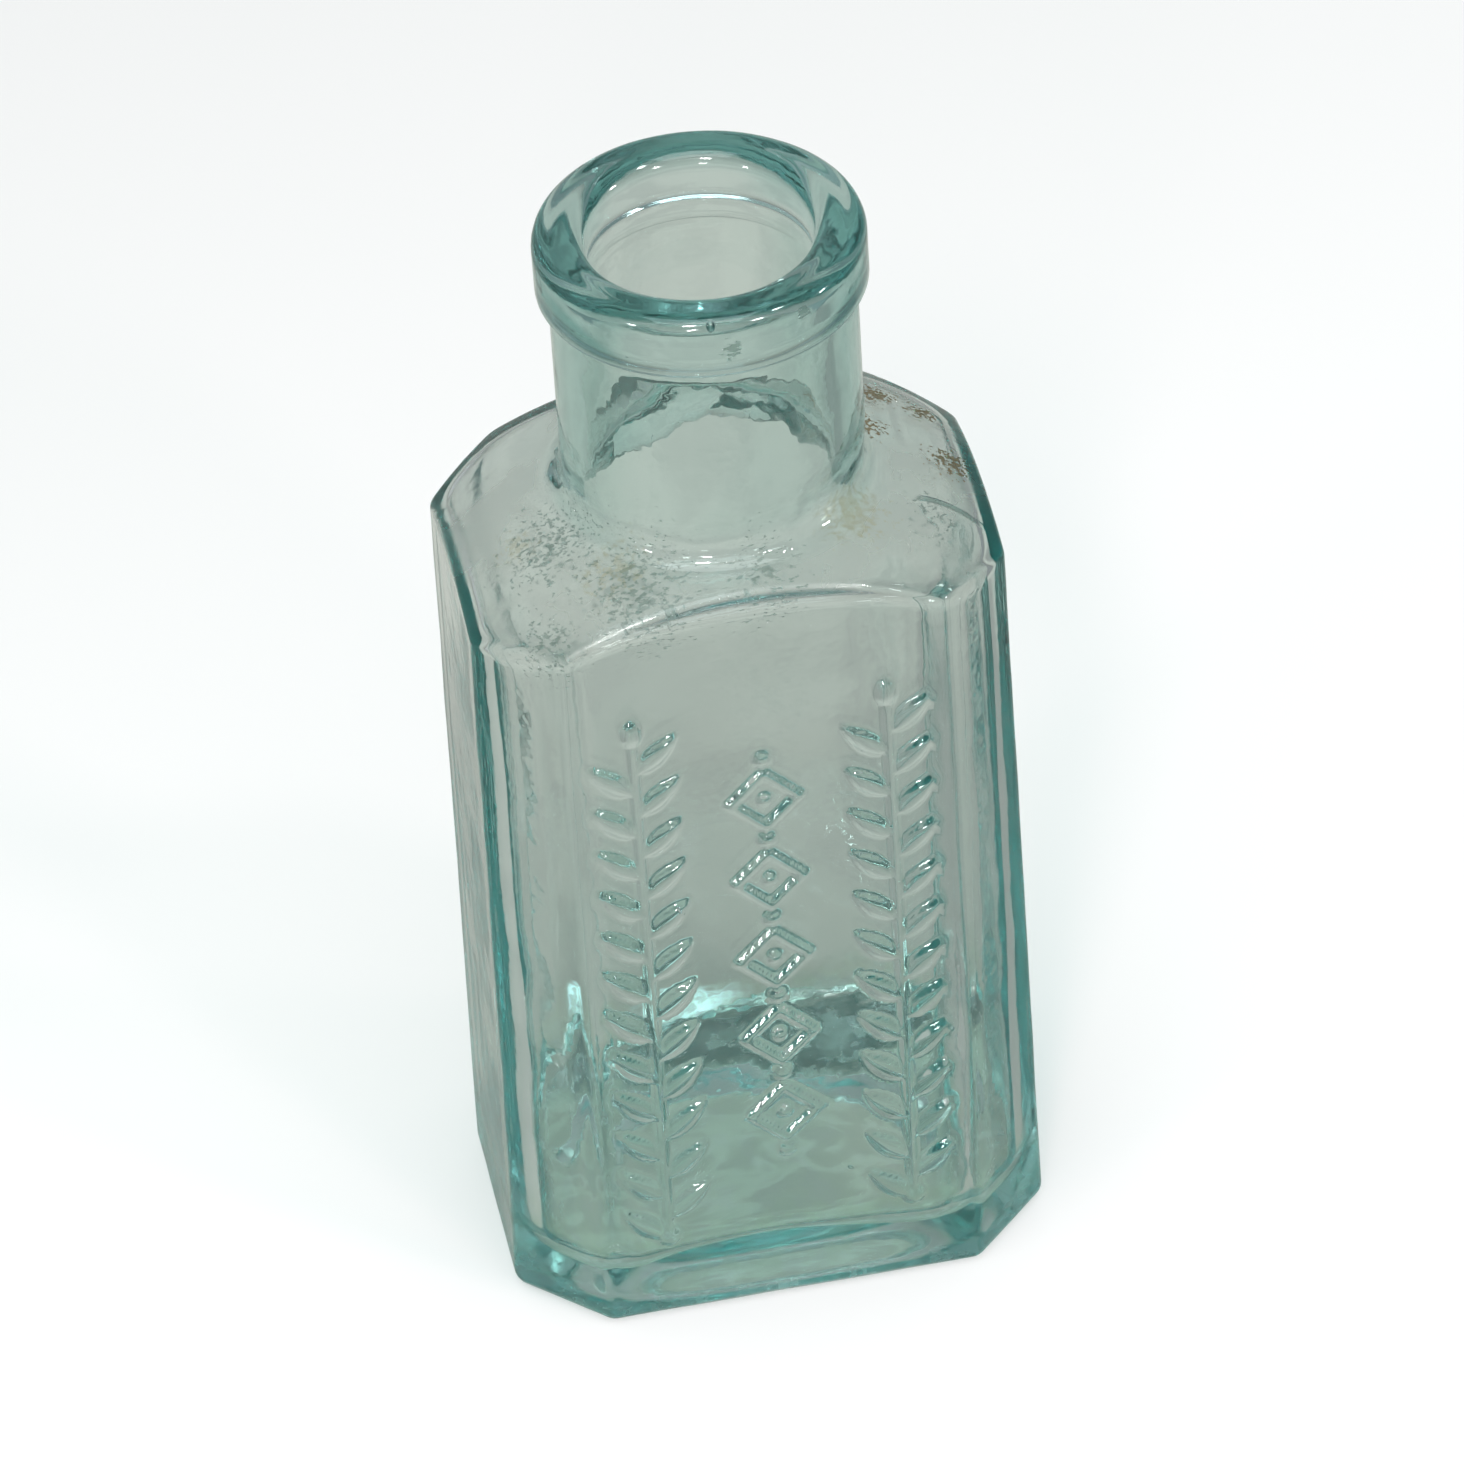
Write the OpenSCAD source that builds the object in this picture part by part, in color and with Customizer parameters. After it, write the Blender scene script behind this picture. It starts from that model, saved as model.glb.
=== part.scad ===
// Small mould-blown glass bottle with bevelled corners, a domed shoulder and a
// wide corked mouth. The glass was made in two gathers: the body with its neck
// was blown in a mould and cracked off the pipe, and the lip was then laid
// round the end of the neck as a second ring of hot glass and tooled to shape.
// Z is the bottle's axis, the resting ring lies at Z = 0 and the wide front
// panel faces -Y.

/* [Body] */
// Width across the two narrow sides
body_w = 54; // [48:0.5:60]
// Depth from the front panel to the back panel
body_d = 38.8; // [36:0.2:46]
// Width of each corner bevel, measured along a panel
bevel = 7.8; // [5:0.2:9]
// Rounding of the upright edges on the outside
edge_r = 2.2; // [1:0.1:3]
// Rounding of the heel, where the walls turn under
heel_r = 2; // [1:0.1:3]
// Height of the dome where it meets the neck
shoulder_h = 91.8; // [75:0.2:110]
// Radius of the domed shoulder
dome_r = 46; // [42:0.5:60]

/* [Glass thickness] */
// Thickness of the panels
wall = 2.6; // [1.8:0.1:3.2]
// Thickness of the base at its rim
base_t = 4.2; // [3.5:0.1:7]
// Thickness of the shoulder
shoulder_t = 2.8; // [2:0.1:3.5]
// Rounding of the upright edges inside, where the glass is thick
inner_edge_r = 7.5; // [3.5:0.1:9]
// Rounding between the inner floor and the walls
floor_r = 4.4; // [3:0.1:5.5]
// Rise of the inner floor along its middle line, from front to back
floor_crown = 3.2; // [1:0.1:4]

/* [Push-up under the base] */
// Radius of the hollow that leaves a resting ring
push_up_r = 12.5; // [8:0.5:14]
// Depth of the hollow
push_up_depth = 1.4; // [0.6:0.1:2]

/* [Neck] */
// Outside diameter of the neck
neck_d = 29.8; // [28:0.1:34]
// Inside diameter of the neck
neck_bore = 24; // [22.8:0.1:25]
// Height of the neck and lip above the shoulder
neck_h = 29.2; // [20:0.2:40]
// Radius of the hollow curve between neck and shoulder
root_r = 2.6; // [1.5:0.1:4]

/* [Lip] */
// Height of the lip's outside band
lip_h = 6.8; // [5.8:0.1:9]
// How far the lip stands proud of the neck
lip_proud = 1.2; // [0.8:0.1:2.5]
// Diameter of the mouth, where a cork is pressed in
mouth_d = 22; // [20:0.1:22.4]
// Length of the straight wall in the mouth
mouth_length = 5; // [4:0.1:6]
// Thickness of lip glass above the end of the neck
lip_cap = 3.4; // [2.6:0.1:4]
// Rounding of the lip's outer top edge
lip_top_r = 1.5; // [0.8:0.1:2]
// Rounding of the lip's edge at the mouth
mouth_r = 2; // [1.2:0.1:2.2]
// Rounding of the lip's lower edge
lip_under_r = 0.9; // [0.5:0.1:1.2]

/* [Hidden] */
$fn = 96;

// Colour of the glass, a pale blue-green
glass = [0.58, 0.78, 0.73, 0.55];

// How far a cutting shape runs past the face that it cuts
overrun = 1;

// Most of a bevel that the roundings of its two edges may take up
bevel_share = 0.9;

height = shoulder_h + neck_h;
neck_r = neck_d / 2;
neck_bore_r = neck_bore / 2;
lip_r = neck_r + lip_proud;
mouth_bore_r = mouth_d / 2;
neck_end_z = height - lip_cap;
lip_low_z = height - lip_h;

// Centre height of a dome that meets a round neck of radius ring_r at height z
function dome_z(ball_r, ring_r, z) = z - sqrt(ball_r ^ 2 - ring_r ^ 2);
dome_centre_z = dome_z(dome_r, neck_r, shoulder_h);
inner_dome_r = dome_r - shoulder_t;

// Distance of the bevels from the axis
bevel_reach = (body_w / 2 + body_d / 2 - bevel) * sin(45);

// Radii of the ball that makes the push-up and of the arch that crowns the floor
function arch_r(half_span, rise) = (half_span ^ 2 + rise ^ 2) / (2 * rise);
push_up_ball_r = arch_r(push_up_r, push_up_depth);
crown_r = arch_r(body_w / 2 - wall - floor_r, floor_crown);

// Corners of the bevelled outline, drawn in by inset, anticlockwise from +X
function outline(inset) =
    let (
        x = body_w / 2 - inset,
        y = body_d / 2 - inset,
        cut = bevel - inset * (2 - 1 / sin(45))
    )
    [
        [x, -y + cut], [x, y - cut], [x - cut, y], [-x + cut, y],
        [-x, y - cut], [-x, -y + cut], [-x + cut, -y], [x - cut, -y]
    ];

function unit(v) = v / norm(v);

// Bevelled outline with its eight corners rounded by true arcs, no larger than
// half a bevel can hold
module rounded_outline(inset, corner_r) {
    corners = outline(inset);
    count = len(corners);
    half_turn = 180 / count;
    bevel_face = norm(corners[2] - corners[1]);
    r = min(corner_r, bevel_face / 2 * bevel_share / tan(half_turn));
    run = r * tan(half_turn);
    polygon([
        for (i = [0 : count - 1], side = [-1, 1])
            corners[i] + run * unit(corners[(i + side + count) % count] - corners[i])
    ]);
    for (i = [0 : count - 1]) {
        before = unit(corners[(i - 1 + count) % count] - corners[i]);
        after = unit(corners[(i + 1) % count] - corners[i]);
        translate(corners[i] + unit(before + after) * r / cos(half_turn))
            circle(r);
    }
}

// Trims the foot of two opposite walls round, and stands clear of them above it
module foot_pair(reach, floor_z, r, top) {
    rotate([90, 0, 0])
        linear_extrude(body_w + body_d, center = true) {
            translate([-reach - overrun, floor_z + r])
                square([2 * (reach + overrun), top - floor_z - r]);
            translate([-reach + r, floor_z])
                square([2 * (reach - r), top - floor_z]);
            for (side = [-1, 1])
                translate([side * (reach - r), floor_z + r])
                    circle(r);
        }
}

// A dome of radius ball_r on a drum of the same radius that reaches the floor
module domed_drum(ball_r) {
    rotate_extrude() {
        translate([0, dome_centre_z])
            intersection() {
                circle(ball_r);
                square(ball_r);
            }
        square([ball_r, dome_centre_z]);
    }
}

// The moulded form: eight upright walls with a rounded foot, under a dome
module moulded_form(inset, floor_z, foot_r, corner_r, ball_r) {
    top = shoulder_h + root_r;
    intersection() {
        intersection() {
            translate([0, 0, floor_z])
                linear_extrude(top - floor_z)
                    rounded_outline(inset, corner_r);
            domed_drum(ball_r);
        }
        intersection() {
            foot_pair(body_w / 2 - inset, floor_z, foot_r, top);
            rotate(90)
                foot_pair(body_d / 2 - inset, floor_z, foot_r, top);
            rotate(45)
                foot_pair(bevel_reach - inset, floor_z, foot_r, top);
            rotate(-45)
                foot_pair(bevel_reach - inset, floor_z, foot_r, top);
        }
    }
}

// Hollow curve that leads from a dome into the round wall standing on it
module root_curve(ring_r, ball_r) {
    centre = [ring_r + root_r, sqrt((ball_r + root_r) ^ 2 - (ring_r + root_r) ^ 2)];
    seat = centre * ball_r / (ball_r + root_r);
    inside = ring_r - overrun;
    translate([0, 0, dome_centre_z])
        rotate_extrude()
            difference() {
                polygon([
                    [inside, seat[1] - overrun], seat - [0, overrun],
                    seat, centre, [ring_r, centre[1]], [inside, centre[1]]
                ]);
                translate(centre)
                    circle(root_r);
            }
}

// Inside of the bottle up to the end of the neck
module cavity() {
    difference() {
        moulded_form(wall, base_t, floor_r, inner_edge_r, inner_dome_r);
        translate([0, 0, base_t + floor_crown - crown_r])
            rotate([90, 0, 0])
                cylinder(h = body_d, r = crown_r, center = true);
    }
    root_curve(neck_bore_r, inner_dome_r);
    translate([0, 0, shoulder_h - shoulder_t - root_r])
        cylinder(h = neck_end_z - shoulder_h + shoulder_t + root_r + overrun, r = neck_bore_r);
}

// First gather: base, walls, shoulder and neck, blown in one piece
module blown_body() {
    color(glass)
        difference() {
            union() {
                moulded_form(0, 0, heel_r, edge_r, dome_r);
                root_curve(neck_r, dome_r);
                translate([0, 0, shoulder_h - root_r])
                    cylinder(h = neck_end_z - shoulder_h + root_r, r = neck_r);
            }
            cavity();
            translate([0, 0, push_up_depth - push_up_ball_r])
                sphere(push_up_ball_r);
        }
}

// What a rounded corner leaves over, for a corner at the origin of the +X +Y quarter
module corner_waste(r) {
    difference() {
        translate([-overrun, -overrun])
            square(r + overrun);
        translate([r, r])
            circle(r);
    }
}

// Section of the lip: a saddle over the end of the neck
module lip_section() {
    mouth_low_z = height - mouth_r - mouth_length;
    ridge = neck_bore_r - mouth_bore_r;
    difference() {
        union() {
            translate([mouth_bore_r, neck_end_z])
                square([lip_r - mouth_bore_r, lip_cap]);
            translate([neck_r, lip_low_z])
                square([lip_proud, lip_h]);
            polygon([
                [mouth_bore_r, neck_end_z + overrun], [mouth_bore_r, mouth_low_z],
                [neck_bore_r, mouth_low_z - ridge], [neck_bore_r, neck_end_z + overrun]
            ]);
        }
        translate([lip_r, height])
            rotate(180)
                corner_waste(lip_top_r);
        translate([mouth_bore_r, height])
            rotate(-90)
                corner_waste(mouth_r);
        translate([lip_r, lip_low_z])
            rotate(90)
                corner_waste(lip_under_r);
    }
}

// Second gather: the tooled lip, seated on and round the end of the neck
module applied_lip() {
    color(glass)
        rotate_extrude()
            lip_section();
}

blown_body();
applied_lip();
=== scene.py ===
import math
from collections import namedtuple

import bmesh
import bpy
from bpy.props import FloatProperty, FloatVectorProperty, IntProperty, PointerProperty
from mathutils import Matrix, Vector, noise


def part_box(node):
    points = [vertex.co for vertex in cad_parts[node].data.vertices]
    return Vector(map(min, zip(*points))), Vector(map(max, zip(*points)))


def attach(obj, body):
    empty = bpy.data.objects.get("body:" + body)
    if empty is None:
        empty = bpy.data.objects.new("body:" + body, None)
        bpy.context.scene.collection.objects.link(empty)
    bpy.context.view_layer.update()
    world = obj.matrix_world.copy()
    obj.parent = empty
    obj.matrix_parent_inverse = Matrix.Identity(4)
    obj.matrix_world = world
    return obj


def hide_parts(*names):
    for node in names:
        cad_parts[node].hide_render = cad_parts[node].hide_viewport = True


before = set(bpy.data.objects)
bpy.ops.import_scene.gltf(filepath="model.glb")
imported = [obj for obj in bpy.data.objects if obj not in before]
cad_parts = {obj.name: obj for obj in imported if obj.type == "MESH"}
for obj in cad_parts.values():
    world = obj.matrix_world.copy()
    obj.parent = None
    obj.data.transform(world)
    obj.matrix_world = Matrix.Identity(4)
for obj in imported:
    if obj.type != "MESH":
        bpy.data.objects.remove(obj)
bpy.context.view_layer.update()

bl_info = {
    "name": "Aqua Glass Bottle",
    "version": (1, 0, 0),
    "blender": (4, 5, 0),
    "location": "3D View > Sidebar > Bottle",
    "description": "Makes a mould-blown glass bottle round its packed CAD frame",
    "category": "Add Mesh",
}

MM = 0.001
BODY_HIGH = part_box("blown_body")[1]
LIP_LOW, LIP_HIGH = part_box("applied_lip")


# Settings

def length(name, description, default, low=0.0, high=0.5):
    """A length in metres that the sidebar shows with its unit."""
    return FloatProperty(name=name, description=description, default=default,
                         min=low, max=high, unit="LENGTH", subtype="DISTANCE", precision=5)


def share(name, description, default, low=0.0, high=1.0):
    return FloatProperty(name=name, description=description, default=default,
                         min=low, max=high, subtype="FACTOR")


def tint(name, description, default):
    return FloatVectorProperty(name=name, description=description, default=default,
                               min=0.0, max=1.0, size=3, subtype="COLOR")


class BottleSizes(bpy.types.PropertyGroup):
    """Sizes of the glass. The defaults follow the CAD frame."""

    half_w: length("Half width", "Half the body's width at mid height", BODY_HIGH.x)
    half_d: length("Half depth", "Half the body's depth at mid height", BODY_HIGH.y)
    draft: length("Draft", "How much wider each wall stands at the heel than at the shoulder", 1.0 * MM)
    bevel: length("Corner bevel", "Width of a corner bevel along a panel at the shoulder", 7.4 * MM)
    bevel_gain: length("Bevel gain", "How much wider a bevel is at the heel", 0.9 * MM)
    edge_r: length("Edge rounding", "Rounding of the upright edges outside", 2.0 * MM)
    heel_r: length("Heel rounding", "Rounding where the walls turn under", 1.9 * MM)
    arch_soft: length("Arch rounding", "Reach of the rounded edge between a panel and the shoulder", 0.6 * MM)
    inner_soft: length("Inner arch rounding", "Reach of the same edge inside", 1.4 * MM)
    shoulder_z: length("Shoulder height", "Height at which the dome would meet the neck", 91.8 * MM)
    dome_r: length("Dome radius", "Radius of the shoulder's dome", 46.0 * MM)
    root_r: length("Root curve", "Radius of the hollow curve between shoulder and neck", 2.4 * MM)
    throat_r: length("Throat curve", "Radius of the curve between the neck's bore and the body", 4.8 * MM)
    neck_r: length("Neck radius", "Outside radius of the neck", 14.9 * MM)
    neck_shift: length("Neck shift", "How far the neck stands to the right of the body's middle", 0.29 * MM)
    wall: length("Wall", "Thickness of the front and back panels", 2.6 * MM)
    side_wall: length("Side wall", "Thickness of the narrow sides", 2.9 * MM)
    base_t: length("Base", "Thickness of the base at its rim", 4.1 * MM)
    floor_crown: length("Floor crown", "Rise of the inner floor towards its middle line", 3.6 * MM)
    crown_shift: length("Crown shift", "How far the floor's highest line lies left of the middle", 3.0 * MM)
    crown_span: length("Crown span", "Distance from the floor's highest line to its lowest", 18.5 * MM)
    inner_edge_r: length("Inner edge rounding", "Rounding of the upright edges inside", 8.0 * MM)
    floor_r: length("Floor rounding", "Rounding between the inner floor and the walls", 4.6 * MM)
    shoulder_t: length("Shoulder wall", "Thickness of the shoulder", 2.8 * MM)
    thinning: length("Thinning", "How much thinner the glass is at the shoulder's edge than elsewhere",
                     1.2 * MM)
    bore_r: length("Neck bore", "Inside radius of the neck", 11.7 * MM)
    push_up_w: length("Push-up half width", "Half the width of the hollow under the base", 22.0 * MM)
    push_up_d: length("Push-up half depth", "Half the hollow's size from front to back", 13.8 * MM)
    push_up_shift: length("Push-up shift", "How far the hollow lies in front of the base's middle", 2.6 * MM)
    push_up: length("Push-up height", "How deep the hollow under the base is", 2.8 * MM)
    push_up_rim: share("Push-up rim", "Share of the hollow's size that its sloping rim takes up", 0.38)
    push_up_power: FloatProperty(name="Push-up squareness", default=3.5, min=2.0, max=10.0,
                                 description="How square the hollow is: an oval at 2, and squarer above it")
    lip_r: length("Lip radius", "Outside radius of the lip", LIP_HIGH.x)
    lip_h: length("Lip height", "Height of the lip's outside band", 6.8 * MM)
    lip_seat: length("Lip seat", "Radius of the hollow curve under the lip's band", 0.3 * MM)
    lip_under: length("Lip's lower edge", "Rounding of the band's lower edge", 0.7 * MM)
    lip_top: length("Lip's top edge", "Rounding of the rim's outer edge", 1.7 * MM)
    mouth_r: length("Mouth radius", "Radius of the mouth", 11.0 * MM)
    mouth_edge: length("Mouth edge", "Rounding of the lip's edge at the mouth", 2.1 * MM)


class ReliefSizes(bpy.types.PropertyGroup):
    """Raised ornament that the mould leaves on the front panel."""

    proud: length("Height", "How far the ornament stands proud", 0.75 * MM)
    line: length("Line", "Half the width of the raised lines", 0.62 * MM)
    sprig_x: length("Sprig place", "Distance of the two leafy sprigs from the panel's middle", 12.6 * MM)
    sprig_low: length("Sprig foot", "Height of the foot of a sprig", 11.0 * MM)
    sprig_high: length("Sprig tip", "Height at which a sprig's stem ends", 74.0 * MM)
    leaf_length: length("Leaf length", "Length of a leaf", 5.8 * MM)
    leaf_width: length("Leaf width", "Width of a leaf", 2.5 * MM)
    leaf_lean: FloatProperty(name="Leaf lean", description="How far a leaf leans out from upright",
                             default=math.radians(46), min=0.0, max=math.pi / 2,
                             unit="ROTATION", subtype="ANGLE")
    leaf_pitch: length("Leaf pitch", "Distance from one leaf to the next on its side", 5.2 * MM)
    chain_low: length("Chain foot", "Height of the foot of the chain of lozenges", 20.0 * MM)
    chain_high: length("Chain tip", "Height of the tip of the chain of lozenges", 70.0 * MM)
    lozenge_w: length("Lozenge width", "Half the width of a lozenge", 3.4 * MM)
    lozenge_h: length("Lozenge height", "Half the height of a lozenge", 3.3 * MM)
    lozenges: IntProperty(name="Lozenges", description="Number of lozenges in the chain",
                          default=5, min=1, max=20)


class GlassLook(bpy.types.PropertyGroup):
    """Colour and finish of the glass."""

    absorbed: tint("Glass colour", "Colour that deep glass keeps", (0.10, 0.64, 0.63))
    density: FloatProperty(name="Colour depth", description="How fast glass takes on its colour, per metre",
                           default=36.0, min=0.0, max=400.0)
    skin: tint("Skin colour", "Colour that light takes on at the surface", (0.94, 0.964, 0.955))
    shadow: tint("Shadow colour", "Share of lamplight that each surface lets through", (0.92, 0.93, 0.92))
    ior: FloatProperty(name="Index of refraction", description="Index of refraction of the glass",
                       default=1.52, min=1.0, max=2.0)


class StageLook(bpy.types.PropertyGroup):
    """Floor and fill light."""

    floor: tint("Floor", "Colour of the floor beside the bottle", (0.915, 0.912, 0.905))
    floor_through: tint("Floor through glass", "Colour that the floor shows through the glass",
                        (0.45, 0.447, 0.41))
    sky_left: tint("Fill light, left", "Colour of the light from the left", (0.52, 0.525, 0.52))
    sky_right: tint("Fill light, right", "Colour of the light from the right", (0.28, 0.29, 0.295))


# Outlines

FRONT, SIDE, BACK, BEVEL, CORNER = 46, 14, 30, 10, 8     # columns along each stretch
COLUMNS = FRONT + 2 * SIDE + BACK + 4 * BEVEL + 8 * CORNER
BASE_RINGS, FOOT_RINGS = 28, 8                           # rings over the base, and round its foot
WALL_RINGS, INNER_RINGS = 80, 40                         # rings up the outer and inner walls
ARCH_RINGS, DOME_RINGS = 8, 14                           # rings round the arches, and over the dome
ROOT_RINGS, NECK_RINGS = 8, 16                           # rings up the root curve and the neck

# What sets one skin of the glass, outer or inner, apart from the other: how far its walls are
# inset, and how much less they are at the shoulder; its floor; its roundings; the radii of its
# dome and neck; the rings up its walls; and the height of its neck's end
Skin = namedtuple("Skin", "inset side_inset thin floor_z floor_shape foot_r corner_r ball_r ring_r "
                          "root_r soft wall_rings neck_top")


def lerp(a, b, t):
    return a + (b - a) * t


def ramp(t):
    """Smooth step from 0 to 1 while t goes from 0 to 1."""
    t = min(max(t, 0.0), 1.0)
    return t * t * (3 - 2 * t)


def bezier(a, b, c, t):
    """Point on the curve that leaves a towards b and arrives at c from b."""
    return a.lerp(b, t).lerp(b.lerp(c, t), t)


def outline(half_w, half_d, cut, corner_r):
    """Points (x, y, nx, ny) round a rectangle with bevelled and rounded corners.

    They start at the left end of the front panel and go anticlockwise, and each
    stretch always has as many, so that sections at any height line up."""
    reach = (half_w + half_d - cut) * math.sin(math.pi / 4)
    stretches = []
    for k, (d, columns) in enumerate(((half_d, FRONT), (reach, BEVEL), (half_w, SIDE), (reach, BEVEL),
                                      (half_d, BACK), (reach, BEVEL), (half_w, SIDE), (reach, BEVEL))):
        stretches.append((d, -math.pi / 2 + k * math.pi / 4, columns))

    def corner(k):
        """Sharp corner between stretch k and the next one."""
        (d0, a0, _), (d1, a1, _) = stretches[k], stretches[(k + 1) % 8]
        s = math.sin(a1 - a0)
        return Vector(((d0 * math.sin(a1) - d1 * math.sin(a0)) / s,
                       (d1 * math.cos(a0) - d0 * math.cos(a1)) / s))

    run = corner_r * math.tan(math.pi / 8)
    points = []
    for k, (d, angle, columns) in enumerate(stretches):
        n = Vector((math.cos(angle), math.sin(angle)))
        along = Vector((-n.y, n.x))
        start, end = corner(k - 1) + along * run, corner(k) - along * run
        for i in range(columns):
            p = start.lerp(end, i / columns)
            points.append((p.x, p.y, n.x, n.y))
        centre = end - n * corner_r
        for i in range(CORNER):
            a = angle + i / CORNER * math.pi / 4
            m = Vector((math.cos(a), math.sin(a)))
            p = centre + m * corner_r
            points.append((p.x, p.y, m.x, m.y))
    return points


def dome_middle(s):
    """Height of the middle of the ball that the shoulder is part of."""
    return s.shoulder_z - math.sqrt(s.dome_r ** 2 - s.neck_r ** 2)


def vessel_rings(s, skin):
    """Rings of points over one skin, from the middle of the base up to the neck's end."""
    ball_z = dome_middle(s)
    lift_span = 10 * MM     # the dome rises with the thinner walls over this way from the neck

    def section(z):
        """Outline at height z."""
        down = 1 - min(max(z / s.shoulder_z, 0), 1)
        grow = s.draft * (down - 0.5) + skin.thin * (1 - down)
        cut = s.bevel + s.bevel_gain * down - skin.inset * (2 - math.sqrt(2))
        return outline(s.half_w + grow - skin.side_inset, s.half_d + grow - skin.inset, cut, skin.corner_r)

    def dome(r):
        """Height of the dome at radius r."""
        return ball_z + math.sqrt(skin.ball_r ** 2 - r ** 2) + skin.thin * ramp((r - s.neck_r) / lift_span)

    rings = []
    foot = section(skin.floor_z + skin.foot_r)
    # Base, from its middle out to the foot
    for k in range(BASE_RINGS):
        ring = []
        for x, y, nx, ny in foot:
            p = Vector((x - nx * skin.foot_r, y - ny * skin.foot_r)) * (k / BASE_RINGS)
            ring.append(Vector((p.x, p.y, skin.floor_z + skin.floor_shape(p))))
        rings.append(ring)
    # Rounded foot
    for k in range(FOOT_RINGS):
        a = k / FOOT_RINGS * math.pi / 2
        inward, up = skin.foot_r * (1 - math.sin(a)), skin.foot_r * (1 - math.cos(a))
        ring = []
        for x, y, nx, ny in foot:
            p = Vector((x - nx * inward, y - ny * inward))
            ring.append(Vector((p.x, p.y, skin.floor_z + up + skin.floor_shape(p) * (1 - k / FOOT_RINGS))))
        rings.append(ring)
    # Walls, each column up to where its arch begins
    arch = [Vector((x, y, dome(math.hypot(x, y)))) for x, y, _, _ in section(s.shoulder_z)]
    for k in range(skin.wall_rings + 1):
        ring = []
        for (x, y, _, _), end in zip(foot, arch):
            low = Vector((x, y, skin.floor_z + skin.foot_r))
            z = lerp(low.z, end.z - skin.soft, k / skin.wall_rings)
            f = (z - low.z) / (end.z - low.z)
            ring.append(Vector((lerp(low.x, end.x, f), lerp(low.y, end.y, f), z)))
        rings.append(ring)
    # Rounded edge between a panel and the dome
    last = rings[-1]
    inner = []
    for p in arch:
        flat = Vector((p.x, p.y))
        r = flat.length - skin.soft
        q = flat.normalized() * r
        inner.append(Vector((q.x, q.y, dome(r))))
    for k in range(1, ARCH_RINGS):
        rings.append([bezier(last[j], arch[j], inner[j], k / ARCH_RINGS) for j in range(COLUMNS)])
    # Shoulder, towards the root of the neck
    centre_r = skin.ring_r + skin.root_r
    centre_z = ball_z + math.sqrt((skin.ball_r + skin.root_r) ** 2 - centre_r ** 2)
    seat_r = centre_r * skin.ball_r / (skin.ball_r + skin.root_r)
    for k in range(DOME_RINGS):
        ring = []
        for p in inner:
            flat = Vector((p.x, p.y))
            r = lerp(flat.length, seat_r, k / DOME_RINGS)
            q = flat.normalized() * r
            ring.append(Vector((q.x, q.y, dome(r))))
        rings.append(ring)
    # Root curve, and the neck on it
    ways = [Vector((p.x, p.y, 0)).normalized() for p in arch]
    seat_a = math.atan2(dome(seat_r) - centre_z, seat_r - centre_r)
    for k in range(ROOT_RINGS + 1):
        a = lerp(seat_a, -math.pi, k / ROOT_RINGS)
        r, z = centre_r + skin.root_r * math.cos(a), centre_z + skin.root_r * math.sin(a)
        rings.append([way * r + Vector((0, 0, z)) for way in ways])
    for k in range(1, NECK_RINGS + 1):
        z = lerp(centre_z, skin.neck_top, k / NECK_RINGS)
        rings.append([way * skin.ring_r + Vector((0, 0, z)) for way in ways])
    return rings


def lip_profile(s):
    """Section of the lip as (radius, height), from under the band over the rim into the neck."""
    top = LIP_HIGH.z
    points = []

    def arc(cr, cz, r, a0, a1, n):
        for k in range(n + 1):
            a = math.radians(lerp(a0, a1, k / n))
            points.append((cr + r * math.cos(a), cz + r * math.sin(a)))

    band_low = top - s.lip_h
    arc(s.neck_r + s.lip_seat, band_low - s.lip_seat, s.lip_seat, 180, 90, 3)
    arc(s.lip_r - s.lip_under, band_low + s.lip_under, s.lip_under, 270, 360, 6)
    for k in range(1, 5):
        points.append((s.lip_r, lerp(band_low + s.lip_under, top - s.lip_top, k / 5)))
    arc(s.lip_r - s.lip_top, top - s.lip_top, s.lip_top, 0, 90, 8)
    for k in range(1, 4):
        points.append((lerp(s.lip_r - s.lip_top, s.mouth_r + s.mouth_edge, k / 4), top))
    arc(s.mouth_r + s.mouth_edge, top - s.mouth_edge, s.mouth_edge, 90, 180, 10)
    low = LIP_LOW.z + (s.bore_r - s.mouth_r)
    for k in range(1, 6):
        points.append((s.mouth_r, lerp(top - s.mouth_edge, low, k / 6)))
    for k in range(0, 5):
        points.append((lerp(s.mouth_r, s.bore_r, ramp(k / 4)), lerp(low, LIP_LOW.z, k / 4)))
    return points


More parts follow.
